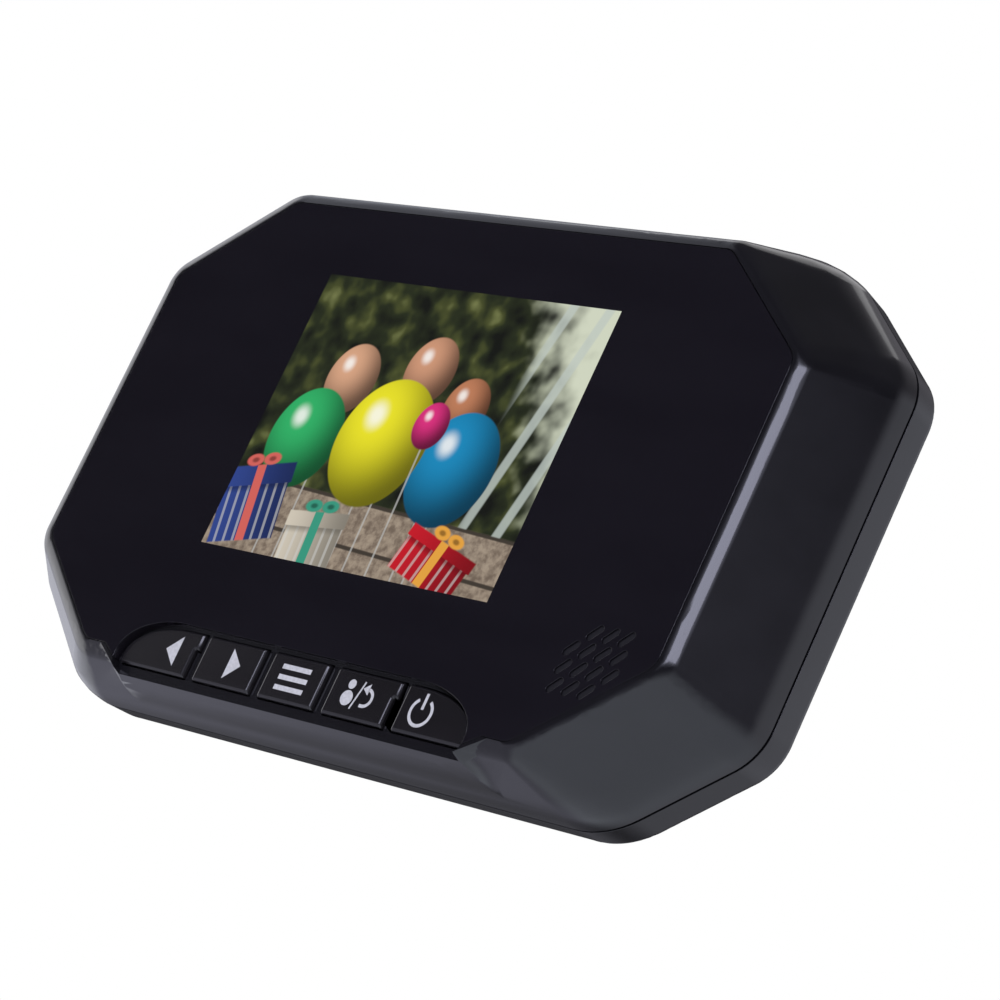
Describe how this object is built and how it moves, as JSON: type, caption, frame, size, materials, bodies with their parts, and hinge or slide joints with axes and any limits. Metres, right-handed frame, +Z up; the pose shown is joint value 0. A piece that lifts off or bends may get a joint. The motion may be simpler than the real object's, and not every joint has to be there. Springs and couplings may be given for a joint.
{
  "type": "peephole door camera monitor",
  "caption": "Indoor monitor of a peephole door camera: eight-sided gloss black case, colour screen, key row at the lower edge, speaker slots, sliding battery cover and hook-on wall bracket.",
  "frame": {"origin": "centre of the peephole bore in the wall bracket, on the face that lies against the door", "axes": "+X to the right seen from the front, +Z up, +Y into the door; the screen faces -Y"},
  "size_m": [0.148, 0.0209, 0.086],
  "materials": {
    "case_black": "gloss black moulded",
    "panel_black": "high gloss acrylic, printed black behind",
    "key_black": "satin gloss with pale printed icons",
    "screen_glass": "colour display glass",
    "guide_white": "white diffuser",
    "frame_steel": "stamped",
    "ribbon_amber": "polyimide film",
    "socket_ivory": "moulded",
    "board_green": "solder mask",
    "chip_black": "moulded epoxy",
    "coil_grey": "ferrite",
    "foam_black": "closed cell foam",
    "contact_nickel": "nickel plated",
    "cone_film": "formed film",
    "bracket_steel": "zinc plated sheet",
    "cell_jacket": "plain printed jacket",
    "screw_steel": "zinc plated"
  },
  "bodies": {
    "bracket": {"wall_bracket": "bracket_steel"},
    "monitor": {"front_shell": "case_black", "rear_cover": "case_black", "window_panel": "panel_black", "screen_gasket": "foam_black", "screen_glass": "screen_glass", "light_guide": "guide_white", "screen_frame": "frame_steel", "screen_ribbon": "ribbon_amber", "screen_socket": "socket_ivory", "main_board": "board_green", "processor": "chip_black", "memory_chip": "chip_black", "power_coils": "coil_grey", "small_components": "socket_ivory", "camera_socket": "socket_ivory", "card_socket": "frame_steel", "supply_socket": "frame_steel", "key_switches": "chip_black", "speaker_gasket": "foam_black", "speaker_basket": "frame_steel", "speaker_magnet": "contact_nickel", "speaker_cone": "cone_film", "speaker_contacts": "contact_nickel", "cell_1": "cell_jacket", "cell_2": "cell_jacket", "cell_3": "cell_jacket", "button_contacts": "contact_nickel", "leaf_contacts": "contact_nickel", "case_screws": "screw_steel", "board_screws": "screw_steel"},
    "battery_cover": {"battery_cover": "case_black"},
    "left_key": {"left_key": "key_black", "left_plunger": "chip_black"},
    "right_key": {"right_key": "key_black", "right_plunger": "chip_black"},
    "menu_key": {"menu_key": "key_black", "menu_plunger": "chip_black"},
    "answer_key": {"answer_key": "key_black", "answer_plunger": "chip_black"},
    "power_key": {"power_key": "key_black", "power_plunger": "chip_black"}
  },
  "joints": [
    {"name": "monitor_lift", "type": "slide", "parent": "bracket", "child": "monitor", "axis": [0, 0, 1], "range_m": [0, 0.01]},
    {"name": "left_key_press", "type": "slide", "parent": "monitor", "child": "left_key", "axis": [0, 1, 0], "range_m": [0, 0.0005], "stiffness_N_per_m": 1500, "springref_m": -0.0003},
    {"name": "right_key_press", "type": "slide", "parent": "monitor", "child": "right_key", "axis": [0, 1, 0], "range_m": [0, 0.0005], "stiffness_N_per_m": 1500, "springref_m": -0.0003},
    {"name": "menu_key_press", "type": "slide", "parent": "monitor", "child": "menu_key", "axis": [0, 1, 0], "range_m": [0, 0.0005], "stiffness_N_per_m": 1500, "springref_m": -0.0003},
    {"name": "answer_key_press", "type": "slide", "parent": "monitor", "child": "answer_key", "axis": [0, 1, 0], "range_m": [0, 0.0005], "stiffness_N_per_m": 1500, "springref_m": -0.0003},
    {"name": "power_key_press", "type": "slide", "parent": "monitor", "child": "power_key", "axis": [0, 1, 0], "range_m": [0, 0.0005], "stiffness_N_per_m": 1500, "springref_m": -0.0003},
    {"name": "battery_cover_slide", "type": "slide", "parent": "monitor", "child": "battery_cover", "axis": [-1, 0, 0], "range_m": [0, 0.008]}
  ]
}
